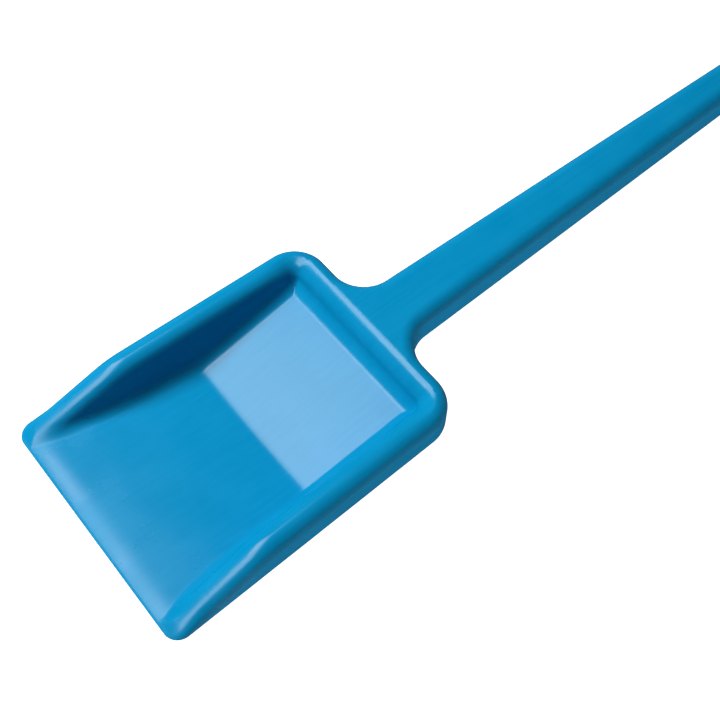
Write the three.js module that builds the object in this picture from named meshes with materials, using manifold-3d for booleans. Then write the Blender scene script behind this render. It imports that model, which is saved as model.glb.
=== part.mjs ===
// A hand scoop moulded in one piece: a folded pan inside a rolled rim, a flared neck and a
// channel-section handle. Millimetres, +Z up.
//
// The scoop is drawn with its lip at x = 0, its handle towards +X and the lower edge of its skirt at
// z = 0. It is then tilted a little, because it rests on the fold of the pan and the tip of the handle.
import * as THREE from "three";
import Module from "manifold-3d";
import { mergeVertices } from "three/addons/utils/BufferGeometryUtils.js";

// ---- Driving dimensions ----
const WALL = 2; // the wall of the moulding

const TAPER = THREE.MathUtils.degToRad(1.37); // each side of the blade and of the handle closes in

const BLADE_LENGTH = 157.5; // lip to the back of the skirt
const BLADE_HALF_WIDTH = 60; // halfway along the blade
const FRONT_CORNER = 7.5; // corner radii in plan, on the outside
const REAR_CORNER = 17;

const RIM_HEIGHT = 17; // skirt edge to the crest of the rim
const LIP_RIM_HEIGHT = 2.4; // the same at the lip, where the rim has come down to the floor
const RIM_KINK_X = 49; // the rim comes down in front of this point
const ROLL = 6.5; // radius of the rolled rim

const PAN_DRAFT = THREE.MathUtils.degToRad(16); // the pan's walls lean out by this much
const FOOT_FILLET = 5.3; // between the pan's side walls and its floor
const PAN_CORNER = 1.5; // the pan's rear corners at the floor, in plan
const FOOT_START_X = 18; // that fillet starts here and has its full radius here
const FOOT_FULL_X = 34;
const LIP_EDGE = 1; // thickness of the very edge of the lip
const LIP_ROLL_LENGTH = 7; // the floor curves down to the lip over this length
const LIP_TOP = 2.1; // top of the floor where that curve starts
const FOLD_X = 83.3; // the floor's fold, its lowest line
const FOLD_Z = -5.6;
const FOLD_FOOT = 2; // half the width of the flat under the fold
const REAR_FOOT_X = 142; // the floor's line with the back wall
const REAR_FOOT_Z = 5;

const NECK_FILLET = 16; // between the blade's back edge and the handle
const HANDLE_X = 190; // where the handle's half width is HANDLE_HALF_WIDTH
const HANDLE_HALF_WIDTH = 14.4;
const END_CENTRE_X = 410; // centre of the handle's round end
const HANG_HOLE_X = 406;
const HANG_HOLE = 4; // radius
const HANG_BOSS = 7.6; // reaches the handle's side walls

const RIB_THICKNESS = 1.6; // cross ribs under the handle
const RIB_FIRST_X = 200;
const RIB_SPACING = 32;
const RIB_COUNT = 6;
const RIB_EDGE_Z = 3; // the ribs stop this far above the skirt edge

const NECK_END_X = 178; // where the neck's region meets the handle's
const TIP_X = 396; // where the handle's region meets its tip's
const SIDE_Y = 37; // where the floor's regions meet the walls'

const PLASTIC = { color: 0x0a90cc, roughness: 0.3, metalness: 0 }; // satin-gloss blue

const SQUARE = Math.PI / 2;
const FAR = 600; // beyond the scoop on every side
const CLEAR = 0.002; // a hollow is drawn this far past the face that it opens
const ARC_STEPS = 8; // steps in a quarter turn
const SIDE_STEPS = 5; // steps along the ramp of the rim
const LIP_STEPS = 4; // steps in the curve down to the lip

// ---- Solids ----
const wasm = await Module();
wasm.setup();

function solidOf(geometry) {
  const bare = geometry.index ? geometry.clone() : geometry;
  bare.deleteAttribute("normal");
  bare.deleteAttribute("uv");
  const merged = mergeVertices(bare, 1e-5);
  return new wasm.Manifold(new wasm.Mesh({
    numProp: 3,
    vertProperties: merged.attributes.position.array,
    triVerts: new Uint32Array(merged.index.array),
  }));
}

function geometryOf(solid) {
  const mesh = solid.getMesh();
  const geometry = new THREE.BufferGeometry();
  geometry.setAttribute("position", new THREE.BufferAttribute(mesh.vertProperties, 3));
  geometry.setIndex(new THREE.BufferAttribute(mesh.triVerts, 1));
  return geometry;
}

// A closed body through rings of 3D points, all with the same number of points and turning the same way
// round the direction in which they follow each other. "cap" gives the plane of the end rings.
function loft(rings, cap) {
  const count = rings[0].length;
  const index = [];
  for (let r = 0; r + 1 < rings.length; r++) {
    for (let i = 0; i < count; i++) {
      const a = r * count + i;
      const b = r * count + ((i + 1) % count);
      index.push(a, b, b + count, a, b + count, a + count);
    }
  }
  const flat = rings[0].map((point) => new THREE.Vector2(point[cap[0]], point[cap[1]]));
  const last = (rings.length - 1) * count;
  for (const [a, b, c] of THREE.ShapeUtils.triangulateShape(flat, [])) {
    index.push(c, b, a, last + a, last + b, last + c);
  }
  const geometry = new THREE.BufferGeometry().setFromPoints(rings.flat());
  geometry.setIndex(index);
  return solidOf(geometry);
}

function box(x0, x1, y0, y1, z0, z1) {
  const geometry = new THREE.BoxGeometry(x1 - x0, y1 - y0, z1 - z0);
  geometry.translate((x0 + x1) / 2, (y0 + y1) / 2, (z0 + z1) / 2);
  return solidOf(geometry);
}

function upright(x, radius, z0, z1) {
  const geometry = new THREE.CylinderGeometry(radius, radius, z1 - z0, ARC_STEPS * 4);
  geometry.rotateX(SQUARE);
  geometry.translate(x, 0, (z0 + z1) / 2);
  return solidOf(geometry);
}

// ---- Outlines in plan ----
function arc(centre, radius, from, to) {
  const points = [];
  for (let i = 0; i <= ARC_STEPS; i++) {
    const angle = THREE.MathUtils.lerp(from, to, i / ARC_STEPS);
    points.push(new THREE.Vector2(Math.cos(angle), Math.sin(angle)).multiplyScalar(radius).add(centre));
  }
  return points;
}

function bladeHalfWidth(x) {
  return BLADE_HALF_WIDTH - (x - BLADE_LENGTH / 2) * Math.tan(TAPER);
}

function handleHalfWidth(x) {
  return HANDLE_HALF_WIDTH - (x - HANDLE_X) * Math.tan(TAPER);
}

const END_RADIUS = handleHalfWidth(END_CENTRE_X) * Math.cos(TAPER);
const END_X = END_CENTRE_X + END_RADIUS;
const SIDE_NORMAL = SQUARE - TAPER; // the direction that the left side faces

// The left half of an outline runs from the front to the handle's end; the other half mirrors it.
function mirrored(half) {
  const other = half.map((point) => new THREE.Vector2(point.x, -point.y));
  return [...half.reverse(), ...other];
}

// A point a distance in from the blade's left side.
function insideBlade(x, distance) {
  return new THREE.Vector2(x, bladeHalfWidth(x) - distance / Math.cos(TAPER));
}

// The scoop's outer outline, moved in by inset.
function scoopOutline(inset) {
  const frontCentre = insideBlade(FRONT_CORNER, FRONT_CORNER);
  const front = arc(frontCentre, FRONT_CORNER - inset, Math.PI, SIDE_NORMAL);
  const side = [];
  for (let i = 1; i <= SIDE_STEPS; i++) {
    side.push(insideBlade(THREE.MathUtils.lerp(FRONT_CORNER, RIM_KINK_X, i / SIDE_STEPS), inset));
  }
  const rearCentre = insideBlade(BLADE_LENGTH - REAR_CORNER, REAR_CORNER);
  const rear = arc(rearCentre, REAR_CORNER - inset, SIDE_NORMAL, 0);
  const neckX = BLADE_LENGTH + NECK_FILLET;
  const neckCentre = new THREE.Vector2(neckX, handleHalfWidth(neckX) + NECK_FILLET / Math.cos(TAPER));
  const neck = arc(neckCentre, NECK_FILLET + inset, Math.PI, Math.PI + SIDE_NORMAL);
  const end = arc(new THREE.Vector2(END_CENTRE_X, 0), END_RADIUS - inset, SIDE_NORMAL, 0);
  end.pop(); // the tip itself, so that the two halves don't share a point
  return mirrored([...front, ...side, ...rear, ...neck, ...end]);
}

// The pan's outline, open past the lip, moved in from the outside of the skirt by inset.
function panOutline(inset) {
  const corner = Math.max(REAR_CORNER - inset, PAN_CORNER);
  const centre = insideBlade(BLADE_LENGTH - inset - corner, inset + corner);
  return mirrored([insideBlade(-ROLL, inset), ...arc(centre, corner, SIDE_NORMAL, 0)]);
}

// ---- Heights ----
// Height of the rim's crest: level behind the kink, and a ramp down to the lip in front of it.
function levelHeight() {
  return RIM_HEIGHT;
}

function rampHeight(x) {
  return THREE.MathUtils.lerp(LIP_RIM_HEIGHT, RIM_HEIGHT, x / RIM_KINK_X);
}

function rimHeight(x) {
  return x < RIM_KINK_X ? rampHeight(x) : levelHeight();
}

const REST_TILT = Math.atan2(WALL - FOLD_Z, END_X - FOLD_X);

// The pan floor's upper or under side as points in x and z, from the lip to under the back wall.
function floorLine(drop) {
  const slope = (REAR_FOOT_Z - FOLD_Z) / (REAR_FOOT_X - FOLD_X);
  const line = [];
  for (let i = 0; i <= LIP_STEPS; i++) {
    const along = i / LIP_STEPS;
    const z = LIP_TOP - (LIP_TOP - LIP_EDGE) * (1 - along) ** 2;
    line.push([along * LIP_ROLL_LENGTH, Math.max(z - drop, 0)]);
  }
  const foot = FOLD_FOOT * Math.tan(REST_TILT);
  line.push([FOLD_X - FOLD_FOOT, FOLD_Z - drop - foot]);
  line.push([FOLD_X + FOLD_FOOT, FOLD_Z - drop + foot]);
  line.push([BLADE_LENGTH, REAR_FOOT_Z - drop + slope * (BLADE_LENGTH - REAR_FOOT_X)]);
  return line;
}

// ---- Bodies ----
// A body whose rim is level behind the kink and a ramp in front of it. "make" makes it for one height.
function kinked(make) {
  const level = make(levelHeight).intersect(box(RIM_KINK_X, FAR, -FAR, FAR, -FAR, FAR));
  const ramp = make(rampHeight).intersect(box(-FAR, RIM_KINK_X, -FAR, FAR, -FAR, FAR));
  return level.add(ramp);
}

// The space inside the scoop's outer skin, or, moved in by one wall, the hollow under it.
function skin(inset, height) {
  const radius = ROLL - inset;
  const crest = RIM_HEIGHT - inset;
  const rings = [[inset, inset > 0 ? -CLEAR : 0]];
  for (let i = 0; i <= ARC_STEPS; i++) {
    const angle = SQUARE * i / ARC_STEPS;
    rings.push([ROLL - radius * Math.cos(angle), crest - radius + radius * Math.sin(angle)]);
  }
  return loft(rings.map(([move, z]) => scoopOutline(move).map((point) => new THREE.Vector3(
    point.x, point.y, z * (height(point.x) - inset) / crest,
  ))), ["x", "y"]);
}

// The space inside the pan's walls, above and below its floor. "grow" moves the walls out.
function panWalls(grow, height) {
  const radius = ROLL - grow;
  const wallTop = RIM_HEIGHT - ROLL + radius * Math.sin(PAN_DRAFT);
  const wallInset = ROLL + radius * Math.cos(PAN_DRAFT);
  const depth = 3 * RIM_HEIGHT; // well below the floor
  const rings = [[wallInset + depth * Math.tan(PAN_DRAFT), wallTop - depth]];
  for (let i = 0; i <= ARC_STEPS; i++) {
    const angle = THREE.MathUtils.lerp(PAN_DRAFT, SQUARE, i / ARC_STEPS);
    rings.push([ROLL + radius * Math.cos(angle), RIM_HEIGHT - ROLL + radius * Math.sin(angle)]);
  }
  const opening = 2 * RIM_HEIGHT; // well above the crest
  rings.push([ROLL, grow > 0 ? RIM_HEIGHT - grow / 2 : opening]);
  return loft(rings.map(([move, z]) => panOutline(move).map((point) => new THREE.Vector3(
    point.x, point.y, z + height(point.x) - RIM_HEIGHT,
  ))), ["x", "y"]);
}

// Everything above the pan floor's upper side, or above its under side.
function aboveFloor(drop) {
  const line = floorLine(drop);
  const outline = [[-ROLL, line[0][1]], ...line, [BLADE_LENGTH, FAR], [-ROLL, FAR]];
  const rings = [FAR, -FAR].map((y) => outline.map(([x, z]) => new THREE.Vector3(x, y, z)));
  return loft(rings, ["x", "z"]);
}

// The hollow corner between a side wall and the floor, filled to a round foot. The foot grows in behind
// the lip as the wall does.
function footFillet(side) {
  const turn = SQUARE - PAN_DRAFT;
  const rings = [];
  for (const x of [FOOT_START_X, FOOT_FULL_X, RIM_KINK_X, FOLD_X, REAR_FOOT_X + WALL]) {
    const floor = heightOn(floorLine(0), x);
    const growth = THREE.MathUtils.smoothstep(x, FOOT_START_X - WALL, FOOT_FULL_X);
    const radius = FOOT_FILLET * growth;
    const wallTop = rimHeight(x) - ROLL * (1 - Math.sin(PAN_DRAFT));
    const wallInset = ROLL + ROLL * Math.cos(PAN_DRAFT) + (wallTop - floor) * Math.tan(PAN_DRAFT);
    const cornerY = insideBlade(x, wallInset).y;
    const ring = [new THREE.Vector3(x, side * (cornerY + WALL / 2), floor - WALL / 2)];
    for (let i = 0; i <= ARC_STEPS; i++) {
      const angle = turn * i / ARC_STEPS;
      const y = cornerY - radius * Math.tan(turn / 2) + radius * Math.sin(angle);
      ring.push(new THREE.Vector3(x, side * y, floor + radius * (1 - Math.cos(angle))));
    }
    rings.push(side > 0 ? ring.reverse() : ring);
  }
  return loft(rings, ["y", "z"]);
}

function heightOn(line, x) {
  const next = Math.max(line.findIndex((point) => point[0] >= x), 1);
  const [x0, z0] = line[next - 1];
  const [x1, z1] = line[next];
  return z0 + (z1 - z0) * (x - x0) / (x1 - x0);
}

// The cross ribs under the handle. They end halfway through its walls.
function ribs() {
  const inside = skin(WALL / 2, levelHeight);
  const plates = [];
  for (let i = 0; i < RIB_COUNT; i++) {
    const x = RIB_FIRST_X + i * RIB_SPACING;
    const plate = box(x - RIB_THICKNESS / 2, x + RIB_THICKNESS / 2, -FAR, FAR, RIB_EDGE_Z, FAR);
    plates.push(plate.intersect(inside));
  }
  return plates.reduce((all, plate) => all.add(plate));
}

function moulding() {
  const outer = kinked((height) => skin(0, height));
  const pan = kinked((height) => panWalls(0, height)).intersect(aboveFloor(0));
  const behindLip = box(LIP_ROLL_LENGTH, FAR, -FAR, FAR, -FAR, FAR);
  const panShell = kinked((height) => panWalls(WALL, height)).intersect(aboveFloor(WALL)).intersect(behindLip);
  const hollow = kinked((height) => skin(WALL, height)).intersect(behindLip).subtract(panShell);
  const boss = upright(HANG_HOLE_X, HANG_BOSS, 0, RIM_HEIGHT - WALL / 2);
  let body = outer.add(panShell).subtract(pan).subtract(hollow);
  for (const side of [1, -1]) {
    body = body.add(footFillet(side));
  }
  body = body.add(ribs()).add(boss);
  return body.subtract(upright(HANG_HOLE_X, HANG_HOLE, -FAR, FAR));
}

// ---- The scoop at rest, with its origin under the middle of its box ----
const whole = geometryOf(moulding());
whole.rotateY(REST_TILT);
whole.computeBoundingBox();
const middle = whole.boundingBox.getCenter(new THREE.Vector3());
const shift = new THREE.Vector3(-middle.x, 0, -whole.boundingBox.min.z);
whole.translate(shift.x, shift.y, shift.z);
const scoop = solidOf(whole);

// The moulding is one piece. It is divided at flat planes into the regions a user would name.
const REGIONS = {
  front_floor: [-FAR, FOLD_X, -SIDE_Y, SIDE_Y],
  rear_floor: [FOLD_X, REAR_FOOT_X, -SIDE_Y, SIDE_Y],
  left_side_wall: [-FAR, REAR_FOOT_X, SIDE_Y, FAR],
  right_side_wall: [-FAR, REAR_FOOT_X, -FAR, -SIDE_Y],
  back_wall: [REAR_FOOT_X, BLADE_LENGTH, -SIDE_Y, SIDE_Y],
  left_rear_corner: [REAR_FOOT_X, BLADE_LENGTH, SIDE_Y, FAR],
  right_rear_corner: [REAR_FOOT_X, BLADE_LENGTH, -FAR, -SIDE_Y],
  neck: [BLADE_LENGTH, NECK_END_X, -FAR, FAR],
  handle: [NECK_END_X, TIP_X, -FAR, FAR],
  handle_tip: [TIP_X, FAR, -FAR, FAR],
};

const group = new THREE.Group();
for (const [name, [x0, x1, y0, y1]] of Object.entries(REGIONS)) {
  const region = box(x0 + shift.x, x1 + shift.x, y0, y1, -FAR, FAR).intersect(scoop);
  const mesh = new THREE.Mesh(geometryOf(region), new THREE.MeshStandardMaterial(PLASTIC));
  mesh.name = name;
  group.add(mesh);
}

export default group;
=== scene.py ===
"""The moulded hand scoop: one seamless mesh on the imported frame, its plastic, and a plain studio.

The scoop's surface is the zero level of a field, a function that is negative inside the plastic. The field
is written in millimetres in the drawing's own frame: lip at x = 0, handle towards +X, skirt edge at z = 0.
row_points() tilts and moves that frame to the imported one, in which the scoop rests on its fold and its
handle's tip.
"""

import math

import bpy
import numpy as np
from mathutils import Matrix, Vector


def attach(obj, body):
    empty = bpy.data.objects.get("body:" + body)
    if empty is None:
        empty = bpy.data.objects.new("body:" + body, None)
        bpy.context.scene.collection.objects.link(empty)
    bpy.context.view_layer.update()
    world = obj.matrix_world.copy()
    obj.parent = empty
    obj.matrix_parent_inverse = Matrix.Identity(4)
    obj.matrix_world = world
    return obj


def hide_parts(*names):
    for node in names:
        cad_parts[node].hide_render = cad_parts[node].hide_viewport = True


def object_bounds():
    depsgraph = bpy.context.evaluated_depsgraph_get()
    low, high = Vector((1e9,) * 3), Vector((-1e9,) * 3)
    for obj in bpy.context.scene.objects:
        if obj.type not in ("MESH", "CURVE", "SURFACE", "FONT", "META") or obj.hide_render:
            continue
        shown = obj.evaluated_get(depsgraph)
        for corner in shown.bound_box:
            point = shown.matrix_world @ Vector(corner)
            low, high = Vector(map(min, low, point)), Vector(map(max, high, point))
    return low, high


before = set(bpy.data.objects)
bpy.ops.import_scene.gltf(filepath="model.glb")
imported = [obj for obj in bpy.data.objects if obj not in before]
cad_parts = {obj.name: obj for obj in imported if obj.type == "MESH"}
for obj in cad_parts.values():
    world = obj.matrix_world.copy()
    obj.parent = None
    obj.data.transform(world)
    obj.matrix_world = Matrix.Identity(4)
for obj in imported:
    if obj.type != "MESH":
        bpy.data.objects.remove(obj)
CAD_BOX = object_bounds()

# ---- The moulding, in millimetres ----
WALL = 2.0
TAPER = math.radians(1.37)  # each side of the blade and of the handle closes in

BLADE_LENGTH = 157.5
BLADE_HALF_WIDTH = 60.0  # halfway along the blade
FRONT_CORNER = 7.5
REAR_CORNER = 17.0

RIM_HEIGHT = 17.0
LIP_RIM_HEIGHT = 1.6
RIM_KINK_X = 49.0
RIM_KINK_SOFTNESS = 2.0  # how far apart in height the ramp and the level rim start to blend
ROLL = 6.5  # radius of the rolled rim
BACK_ROLL = 9.5  # the same over the pan's back wall
BACK_ROLL_INSET = 4.2  # from the back of the skirt to the top of that roll
BACK_ROLL_START_X = 126.0
BACK_ROLL_FULL_X = 148.0

PAN_DRAFT = math.radians(16)
FOOT = 4.4  # fillet between the pan's walls and its floor
LIP_FOOT = 2.0
FOOT_FULL_X = 22.0
LIP_EDGE = 1.0
LIP_ROLL_LENGTH = 7.0
LIP_CURVE_LENGTH = 14.0  # the floor curves down to the lip over this length
LIP_TOP = 2.1
FOLD_X = 83.3
FOLD_Z = -5.6
FOLD_SOFTNESS = 0.8
REAR_FOOT_X = 142.0
REAR_FOOT_Z = 5.0

NECK_FILLET = 16.0
HANDLE_X = 190.0
HANDLE_HALF_WIDTH = 14.4
END_CENTRE_X = 410.0
END_SQUEEZE = 0.98  # its round end is a little short of a half circle
HANG_HOLE_X = 406.0
HANG_HOLE = 4.0
HANG_BOSS = 7.6

RIB_THICKNESS = 1.6
RIB_FIRST_X = 200.0
RIB_SPACING = 32.0
RIB_COUNT = 6
RIB_EDGE_Z = 3.0

EDGE = 0.5  # radius on every small edge

END_RADIUS = (HANDLE_HALF_WIDTH - (END_CENTRE_X - HANDLE_X) * math.tan(TAPER)) * math.cos(TAPER)
REST_TILT = math.atan2(WALL - FOLD_Z, END_CENTRE_X + END_RADIUS - FOLD_X)
MM = 0.001


def row_points(points):
    """Points of the drawing, in millimetres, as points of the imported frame, in metres."""
    points = np.asarray(points, float)
    x, y, z = points[..., 0], points[..., 1], points[..., 2]
    across = x * math.cos(REST_TILT) + z * math.sin(REST_TILT)
    up = z * math.cos(REST_TILT) - x * math.sin(REST_TILT)
    handle_drop = (END_CENTRE_X + END_RADIUS) * math.sin(REST_TILT)
    lip = CAD_BOX[0][0]
    return np.stack([lip + across * MM, y * MM, (up + handle_drop) * MM], -1)


def row_direction(direction):
    return Matrix.Rotation(REST_TILT, 3, "Y") @ Vector(direction)


# ---- Fields ----
def round_max(a, b, radius):
    """Inside both fields, with the edge between them rounded."""
    corner = np.hypot(np.maximum(radius + a, 0), np.maximum(radius + b, 0))
    return np.minimum(-radius, np.maximum(a, b)) + corner


def round_min(a, b, radius):
    """Inside either field, with the hollow corner between them rounded."""
    corner = np.hypot(np.maximum(radius - a, 0), np.maximum(radius - b, 0))
    return np.maximum(radius, np.minimum(a, b)) - corner


def soft_max(a, b, softness):
    blend = np.maximum(softness - np.abs(a - b), 0)
    return np.maximum(a, b) + blend * blend / (4 * softness)


def smooth_step(x, start, end):
    t = np.clip((x - start) / (end - start), 0, 1)
    return t * t * (3 - 2 * t)


def inside_blade(x, y):
    """The blade's plan, open past the lip."""
    half_width = BLADE_HALF_WIDTH - (x - BLADE_LENGTH / 2) * math.tan(TAPER)
    side = (np.abs(y) - half_width) * math.cos(TAPER)
    return round_max(side, x - BLADE_LENGTH, REAR_CORNER)


def inside_outline(x, y):
    """The whole scoop's plan."""
    blade = round_max(inside_blade(x, y), -x, FRONT_CORNER)
    half_width = HANDLE_HALF_WIDTH - (x - HANDLE_X) * math.tan(TAPER)
    sides = (np.abs(y) - half_width) * math.cos(TAPER)
    end = np.hypot((x - END_CENTRE_X) / END_SQUEEZE, y) - END_RADIUS
    handle = np.maximum(np.where(x > END_CENTRE_X, end, sides), REAR_FOOT_X - REAR_CORNER - x)
    return round_min(blade, handle, NECK_FILLET)


def rim_height(x):
    ramp = LIP_RIM_HEIGHT + (RIM_HEIGHT - LIP_RIM_HEIGHT) * np.maximum(x, 0) / RIM_KINK_X
    return -soft_max(-ramp, -RIM_HEIGHT, RIM_KINK_SOFTNESS)


def floor_height(x):
    """Top of the pan's floor: two planes with a soft fold between them, rolled down to the lip."""
    fold = FOLD_Z - FOLD_SOFTNESS / 4
    front_slope = (LIP_TOP - fold) / (LIP_ROLL_LENGTH - FOLD_X)
    rear_slope = (REAR_FOOT_Z - fold) / (REAR_FOOT_X - FOLD_X)
    front = fold + (x - FOLD_X) * front_slope
    rear = fold + (x - FOLD_X) * rear_slope
    lip_drop = fold - FOLD_X * front_slope - LIP_EDGE
    roll = np.maximum(1 - np.maximum(x, 0) / LIP_CURVE_LENGTH, 0)
    return soft_max(front, rear, FOLD_SOFTNESS) - lip_drop * roll ** 3


def under_skin(plan, height, z, inset):
    """The space under the outer skin, or under the same skin moved in. The roll is flatter where the rim
    is too low for it, so that it still ends upright just above the skirt's edge."""
    flatness = ROLL / np.minimum(ROLL, height - EDGE)
    return round_max(plan + inset, (z - height + inset) * flatness, ROLL - inset)


def under_pan(x, y, z, height):
    """What lies below the inner half of the rim, the pan's walls and its floor."""
    back = smooth_step(x, BACK_ROLL_START_X, BACK_ROLL_FULL_X)
    roll = ROLL + (BACK_ROLL - ROLL) * back
    across = -inside_blade(x, y) - ROLL - (BACK_ROLL_INSET - ROLL) * back
    up = z - height + roll
    wall = across * math.cos(PAN_DRAFT) + up * math.sin(PAN_DRAFT)
    on_wall = up * math.cos(PAN_DRAFT) < across * math.sin(PAN_DRAFT)
    wall = np.where(across < 0, up, np.where(on_wall, wall, np.hypot(across, up))) - roll
    foot = LIP_FOOT + (FOOT - LIP_FOOT) * smooth_step(x, 0, FOOT_FULL_X)
    return round_min(wall, z - floor_height(x), foot)


def add_ribs(shell, skin, x, z):
    nearest = np.clip(np.round((x - RIB_FIRST_X) / RIB_SPACING), 0, RIB_COUNT - 1)
    plate = np.abs(x - RIB_FIRST_X - nearest * RIB_SPACING) - RIB_THICKNESS / 2
    plate = round_max(plate, RIB_EDGE_Z - z, EDGE)
    return round_min(shell, np.maximum(plate, skin), EDGE)


def add_hang_hole(shell, x, y, z):
    from_axis = np.hypot(x - HANG_HOLE_X, y)
    boss = round_max(from_axis - HANG_BOSS, -z, EDGE)
    boss = np.maximum(boss, z - RIM_HEIGHT + WALL / 2)
    return round_max(round_min(shell, boss, EDGE), HANG_HOLE - from_axis, EDGE)


def field(x, y, z):
    """Negative inside the moulding."""
    plan = inside_outline(x, y)
    height = rim_height(x)
    pan = under_pan(x, y, z, height)
    top = np.maximum(under_skin(plan, height, z, 0), round_max(-x, pan, EDGE))
    hollow = np.maximum(under_skin(plan, height, z, WALL), pan + WALL)
    hollow = round_max(hollow, LIP_ROLL_LENGTH - x, WALL / 2)
    shell = np.maximum(top, -hollow)
    skirt_edge = np.minimum(-z, plan + LIP_ROLL_LENGTH + EDGE)
    shell = round_max(shell, skirt_edge, EDGE)
    shell = add_ribs(shell, under_skin(plan, height, z, WALL / 2), x, z)
    return add_hang_hole(shell, x, y, z)


def slope(points):
    """The field's value and gradient at each point."""
    reach = 0.01  # millimetres to each side
    value = field(*points.T)
    gradient = np.empty_like(points)
    for axis in range(3):
        step = np.zeros(3)
        step[axis] = reach
        gradient[:, axis] = (field(*(points + step).T) - field(*(points - step).T)) / (2 * reach)
    return value, gradient


# ---- The mesh: surface nets on a graded grid, pulled onto the field's zero level ----
# Spacings of the grid along the scoop, and where each one ends.
FINE = 0.75  # round the lip and the handle's tip
LIP_SPACING = 0.3
PAN_SPACING = 1.25
NECK_SPACING = 1.0
HANDLE_SPACING = 2.2
SPACING_AT_RIBS = 0.6
LIP_END_X = 1.5
FRONT_END_X = 12.0
PAN_END_X = 138.0
NECK_END_X = 180.0
RIB_REACH = 2.0  # to each side of a rib
TIP_START_X = 394.0

# The same across it, from the middle out; it is fine in between.
CORE_SPACING = 2.0
CORE_HALF_WIDTH = 6.0
HANDLE_END_Y = 18.0
FLOOR_SPACING = 1.9
FLOOR_END_Y = 37.0
SIDE_END_Y = 63.0

MARGIN = 1.5  # free space round the scoop
ROWS_BELOW = 14  # under the skirt's edge, down past the fold

LONGEST_MOVE = 0.3  # of a point, in one round
LEAST_STEEPNESS = 0.2
RELAX_ROUNDS = 6
PULL_ROUNDS = 4


def graded(start, spans):
    """Grid lines from the start through each span; a span is its end and its spacing."""
    lines = [start]
    for end, spacing in spans:
        start = lines[-1]
        count = max(round((end - start) / spacing), 1)
        lines.extend(start + (end - start) * (i + 1) / count for i in range(count))
    return np.array(lines)


def grid_lines():
    along = [(0, FINE), (LIP_END_X, LIP_SPACING), (FRONT_END_X, FINE)]
    along += [(PAN_END_X, PAN_SPACING), (NECK_END_X, NECK_SPACING)]
    for rib in range(RIB_COUNT):
        rib_x = RIB_FIRST_X + rib * RIB_SPACING
        along += [(rib_x - RIB_REACH, HANDLE_SPACING), (rib_x + RIB_REACH, SPACING_AT_RIBS)]
    along += [(TIP_START_X, HANDLE_SPACING), (END_CENTRE_X + END_RADIUS + MARGIN, FINE)]
    left = [(CORE_HALF_WIDTH, CORE_SPACING), (HANDLE_END_Y, FINE)]
    left += [(FLOOR_END_Y, FLOOR_SPACING), (SIDE_END_Y, FINE)]
    left = graded(0, left)
    across = np.concatenate([-left[:0:-1], left])
    up = [(EDGE - FINE, FINE), (EDGE + FINE, FINE / 2), (RIM_HEIGHT + MARGIN, FINE)]
    return graded(-MARGIN, along), across, graded(EDGE - ROWS_BELOW * FINE, up)


def edge_crossings(values, lines, axis):
    """The grid edges along one axis that the surface crosses: the number of each one's low end, the point
    where it is crossed, and whether its low end is inside."""
    low, high = np.delete(values, -1, axis), np.delete(values, 0, axis)
    crossed = (low < 0) != (high < 0)
    number = np.argwhere(crossed)
    low, high = low[crossed], high[crossed]
    point = np.stack([lines[k][number[:, k]] for k in range(3)], -1)
    gap = np.diff(lines[axis])[number[:, axis]]
    point[:, axis] += gap * low / (low - high)
    return number, point, low < 0


def cells_round(edge, axis):
    """The four cells round each grid edge along one axis, one after another."""
    second, third = (axis + 1) % 3, (axis + 2) % 3
    cells = []
    for back in ((1, 1), (0, 1), (0, 0), (1, 0)):
        cell = edge.copy()
        cell[:, second] -= back[0]
        cell[:, third] -= back[1]
        cells.append(tuple(cell.T))
    return cells


def surface_net(lines):
    """One vertex in each cell that the surface passes through, and one quad for each edge it crosses."""
    values = field(*np.meshgrid(*lines, indexing="ij"))
    shape = tuple(n - 1 for n in values.shape)
    total = np.zeros(shape + (3,))
    count = np.zeros(shape)
    crossings = [edge_crossings(values, lines, axis) for axis in range(3)]
    for axis, (edge, point, _) in enumerate(crossings):
        for cell in cells_round(edge, axis):
            np.add.at(total, cell, point)
            np.add.at(count, cell, 1)
    used = count > 0
    vertex = np.zeros(shape, int)
    vertex[used] = np.arange(used.sum())
    quads = []
    for axis, (edge, _, low_inside) in enumerate(crossings):
        quad = np.stack([vertex[cell] for cell in cells_round(edge, axis)], -1)
        quad[~low_inside] = quad[~low_inside][:, ::-1]
        quads.append(quad)
    return total[used] / count[used][:, None], np.concatenate(quads)


def pull_to_surface(points, rounds):
    """Moves each point down or up its gradient to the zero level, a little way in each round."""
    for _ in range(rounds):
        value, gradient = slope(points)
        steepness = np.maximum((gradient ** 2).sum(1), LEAST_STEEPNESS)
        move = -gradient * (value / steepness)[:, None]
        length = np.linalg.norm(move, axis=1)
        move *= (LONGEST_MOVE / np.maximum(length, LONGEST_MOVE))[:, None]
        points = points + move
    return points


def relax(points, quads):
    """Evens out the quads without leaving the surface: a point goes halfway to its neighbours' middle."""
    pairs = np.concatenate([quads[:, [i, (i + 1) % 4]] for i in range(4)])
    neighbours = np.bincount(pairs[:, 0], minlength=len(points))
    for _ in range(RELAX_ROUNDS):
        totals = [np.bincount(pairs[:, 0], points[pairs[:, 1], k], len(points)) for k in range(3)]
        middle = np.stack(totals, -1) / neighbours[:, None]
        points = pull_to_surface((points + middle) / 2, 1)
    return pull_to_surface(points, PULL_ROUNDS)


def scoop_mesh():
    points, quads = surface_net(grid_lines())
    points = relax(pull_to_surface(points, PULL_ROUNDS), quads)
    gradient = slope(points)[1]
    normals = gradient / np.linalg.norm(gradient, axis=1)[:, None]
    turn = np.array(Matrix.Rotation(REST_TILT, 3, "Y"))
    mesh = bpy.data.meshes.new("scoop")
    mesh.from_pydata(row_points(points).tolist(), [], quads.tolist())
    mesh.validate()
    mesh.shade_smooth()
    mesh.normals_split_custom_set_from_vertices((normals @ turn.T).tolist())
    return mesh


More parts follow.
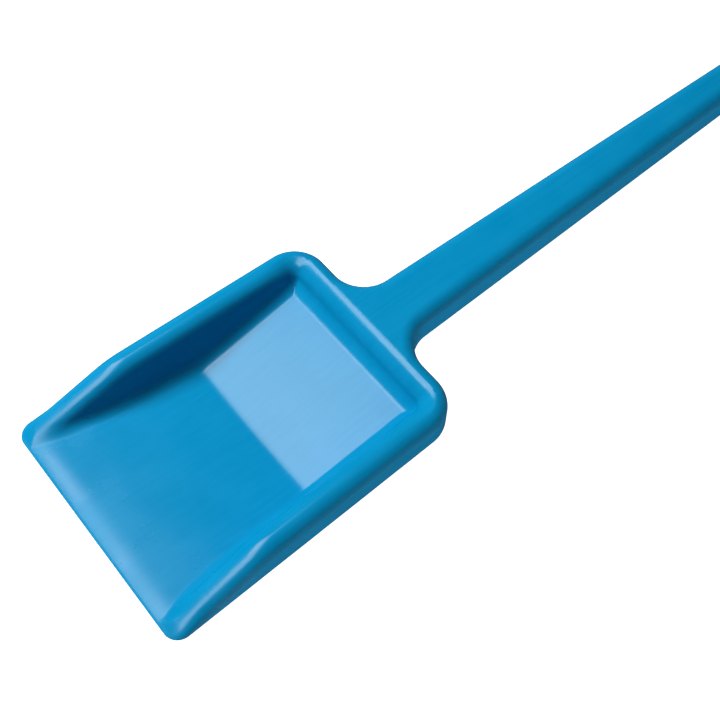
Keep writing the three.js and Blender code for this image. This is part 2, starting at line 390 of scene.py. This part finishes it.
# ---- Plastic; the lengths are in metres ----
BLUE = (0.0, 0.242, 0.488)
PALE_BLUE = (0.003, 0.268, 0.53)
SCUFFED_BLUE = (0.03, 0.3, 0.55)
STREAKS_PER_METRE = (22, 620, 300)  # fine lines along the scoop, as from a polished mould
MOTTLES_PER_METRE = 45
GRAINS_PER_METRE = 1500
SCUFF_LENGTH = 0.065  # the lip is scuffed this far back
EDGE_WEAR_LENGTH = 0.0025
NOISE_SPAN = (0.3, 0.7)  # the part of a noise's range that is used
GRAIN_SPAN = (0.45, 0.6)
LEAST_SCUFF = 0.35
EDGE_WEAR = 0.8
ROUGHNESS = 0.18
SCUFF_ROUGHNESS = 0.18  # added where the plastic is scuffed
BUMP_HEIGHT = 0.00003
BUMP_STRENGTH = 0.1


def noise(tree, place, scale, detail):
    node = tree.nodes.new("ShaderNodeTexNoise")
    node.inputs["Scale"].default_value = scale
    node.inputs["Detail"].default_value = detail
    tree.links.new(place, node.inputs["Vector"])
    return node.outputs["Fac"]


def remap(tree, value, from_span, to_span):
    node = tree.nodes.new("ShaderNodeMapRange")
    node.interpolation_type = "SMOOTHSTEP"
    node.inputs["From Min"].default_value = from_span[0]
    node.inputs["From Max"].default_value = from_span[1]
    node.inputs["To Min"].default_value = to_span[0]
    node.inputs["To Max"].default_value = to_span[1]
    tree.links.new(value, node.inputs["Value"])
    return node.outputs["Result"]


def arithmetic(tree, operation, a, b):
    node = tree.nodes.new("ShaderNodeMath")
    node.operation = operation
    for socket, value in zip(node.inputs, (a, b)):
        if isinstance(value, float):
            socket.default_value = value
        else:
            tree.links.new(value, socket)
    return node.outputs["Value"]


def blend_colour(tree, amount, first, second):
    node = tree.nodes.new("ShaderNodeMix")
    node.data_type = "RGBA"
    tree.links.new(amount, node.inputs["Factor"])
    for socket, colour in ((node.inputs[6], first), (node.inputs[7], second)):
        if isinstance(colour, tuple):
            socket.default_value = (*colour, 1)
        else:
            tree.links.new(colour, socket)
    return node.outputs[2]


def plastic():
    """Satin-gloss blue: faint streaks along the scoop, soft mottling, and a duller, worn lip."""
    material = bpy.data.materials.new("blue_plastic")
    material.use_nodes = True
    tree = material.node_tree
    shader = tree.nodes["Principled BSDF"]
    place = tree.nodes.new("ShaderNodeTexCoord").outputs["Object"]
    stretch = tree.nodes.new("ShaderNodeVectorMath")
    stretch.operation = "MULTIPLY"
    stretch.inputs[1].default_value = STREAKS_PER_METRE
    tree.links.new(place, stretch.inputs[0])
    along = tree.nodes.new("ShaderNodeSeparateXYZ")
    tree.links.new(place, along.inputs["Vector"])

    streaks = remap(tree, noise(tree, stretch.outputs["Vector"], scale=1, detail=4), NOISE_SPAN, (0, 1))
    mottles = remap(tree, noise(tree, place, MOTTLES_PER_METRE, detail=5), NOISE_SPAN, (0, 1))
    grains = noise(tree, place, GRAINS_PER_METRE, detail=3)
    lip = CAD_BOX[0][0]
    near_lip = remap(tree, along.outputs["X"], (lip, lip + SCUFF_LENGTH), (1, 0))
    scuffs = arithmetic(tree, "MULTIPLY", near_lip, remap(tree, mottles, (0, 1), (LEAST_SCUFF, 1)))
    at_edge = remap(tree, along.outputs["X"], (lip, lip + EDGE_WEAR_LENGTH), (1, 0))
    wear = arithmetic(tree, "MULTIPLY", at_edge, remap(tree, grains, GRAIN_SPAN, (0, EDGE_WEAR)))

    patches = arithmetic(tree, "MULTIPLY", arithmetic(tree, "ADD", mottles, streaks), 0.5)
    colour = blend_colour(tree, patches, BLUE, PALE_BLUE)
    colour = blend_colour(tree, wear, colour, SCUFFED_BLUE)
    tree.links.new(colour, shader.inputs["Base Color"])

    dull = arithmetic(tree, "MULTIPLY", scuffs, SCUFF_ROUGHNESS)
    tree.links.new(arithmetic(tree, "ADD", dull, ROUGHNESS), shader.inputs["Roughness"])

    bump = tree.nodes.new("ShaderNodeBump")
    bump.inputs["Strength"].default_value = BUMP_STRENGTH
    bump.inputs["Distance"].default_value = BUMP_HEIGHT
    tree.links.new(grains, bump.inputs["Height"])
    tree.links.new(bump.outputs["Normal"], shader.inputs["Normal"])
    return material


# ---- Studio ----
CAMERA_AT = (-22.53, -202.86, 444.78)  # millimetres, in the drawing's frame
CAMERA_AZIMUTH = math.radians(39.805)
CAMERA_ELEVATION = math.radians(59.977)
CAMERA_ROLL = math.radians(0.677)
CAMERA_LENS = 55.8
CAMERA_LEVEL = (math.cos(CAMERA_AZIMUTH), -math.sin(CAMERA_AZIMUTH), 0)  # points right in its view

# Lights: directions are in the drawing's frame, sizes and distances in metres.
KEY_DIRECTION = (-0.25, 0.46, 0.85)
KEY_SIZE = 0.65
KEY_DISTANCE = 1.4
KEY_POWER = 27.6
SHINE_DIRECTION = (-0.293, 0.17, 0.93)
SHINE_WIDTH = 0.51
SHINE_LENGTH = 1.28
SHINE_DISTANCE = 1.2
SHINE_POWER = 8.8

ROOM_STRENGTH = 0.025
BACKDROP_STRENGTH = 0.85
FLOOR_SIZE = 8
FLOOR_GREY = 0.3
FLOOR_ROUGHNESS = 0.6
FLOOR_STRENGTH = 1.2


def softbox(name, direction, along, width, length, distance, power):
    """A rectangular light over the pan; its width runs the way that "along" points."""
    back = row_direction(direction).normalized()
    across = back.cross(row_direction(along)).normalized()
    along = across.cross(back)
    light = bpy.data.lights.new(name, "AREA")
    light.shape = "RECTANGLE"
    light.size = width
    light.size_y = length
    light.energy = power
    obj = bpy.data.objects.new(name, light)
    turn = Matrix((along, across, back)).transposed().to_4x4()
    centre = Vector(row_points((FOLD_X, 0, 0)))
    obj.matrix_world = Matrix.Translation(centre + back * distance) @ turn
    bpy.context.scene.collection.objects.link(obj)
    return obj


def lights():
    """The key only lights the plastic, and the shine is only mirrored in it."""
    key = softbox("key", KEY_DIRECTION, (1, 0, 0), KEY_SIZE, KEY_SIZE, KEY_DISTANCE, KEY_POWER)
    key.visible_glossy = False
    shine = softbox(
        "shine", SHINE_DIRECTION, CAMERA_LEVEL, SHINE_WIDTH, SHINE_LENGTH, SHINE_DISTANCE, SHINE_POWER
    )
    shine.visible_diffuse = False


def surroundings():
    """Dim round the scoop, so that its colour stays deep, and pale where the camera sees past the floor."""
    world = bpy.data.worlds.new("studio")
    bpy.context.scene.world = world
    world.use_nodes = True
    nodes = world.node_tree.nodes
    links = world.node_tree.links
    rays = nodes.new("ShaderNodeLightPath")
    strength = nodes.new("ShaderNodeMapRange")
    strength.inputs["To Min"].default_value = ROOM_STRENGTH
    strength.inputs["To Max"].default_value = BACKDROP_STRENGTH
    links.new(rays.outputs["Is Camera Ray"], strength.inputs["Value"])
    links.new(strength.outputs["Result"], nodes["Background"].inputs["Strength"])
    nodes["Background"].inputs["Color"].default_value = (1, 1, 1, 1)


def floor():
    """Pale, and bright enough to light the skirt from below."""
    bpy.ops.mesh.primitive_plane_add(size=FLOOR_SIZE)
    plane = bpy.context.object
    plane.name = "floor"
    paint = bpy.data.materials.new("pale_floor")
    paint.use_nodes = True
    shader = paint.node_tree.nodes["Principled BSDF"]
    shader.inputs["Base Color"].default_value = (FLOOR_GREY, FLOOR_GREY, FLOOR_GREY, 1)
    shader.inputs["Roughness"].default_value = FLOOR_ROUGHNESS
    shader.inputs["Emission Color"].default_value = (1, 1, 1, 1)
    shader.inputs["Emission Strength"].default_value = FLOOR_STRENGTH
    plane.data.materials.append(paint)
    plane.visible_glossy = False


def camera():
    """Above the lip's right corner, looking down at the pan."""
    flat = math.cos(CAMERA_ELEVATION)
    sine, cosine = math.sin(CAMERA_AZIMUTH), math.cos(CAMERA_AZIMUTH)
    forward = Vector((sine * flat, cosine * flat, -math.sin(CAMERA_ELEVATION)))
    right = Matrix.Rotation(-CAMERA_ROLL, 3, forward) @ Vector(CAMERA_LEVEL)
    up = right.cross(forward)
    axes = [row_direction(axis) for axis in (right, up, -forward)]
    data = bpy.data.cameras.new("camera")
    data.lens = CAMERA_LENS
    obj = bpy.data.objects.new("camera", data)
    turn = Matrix(axes).transposed().to_4x4()
    obj.matrix_world = Matrix.Translation(row_points(CAMERA_AT)) @ turn
    bpy.context.scene.collection.objects.link(obj)
    bpy.context.scene.camera = obj


camera()
lights()
surroundings()
floor()
bpy.context.scene.view_settings.view_transform = "Standard"

scoop = bpy.data.objects.new("scoop_moulding", scoop_mesh())
bpy.context.scene.collection.objects.link(scoop)
scoop.data.materials.append(plastic())
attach(scoop, "root")
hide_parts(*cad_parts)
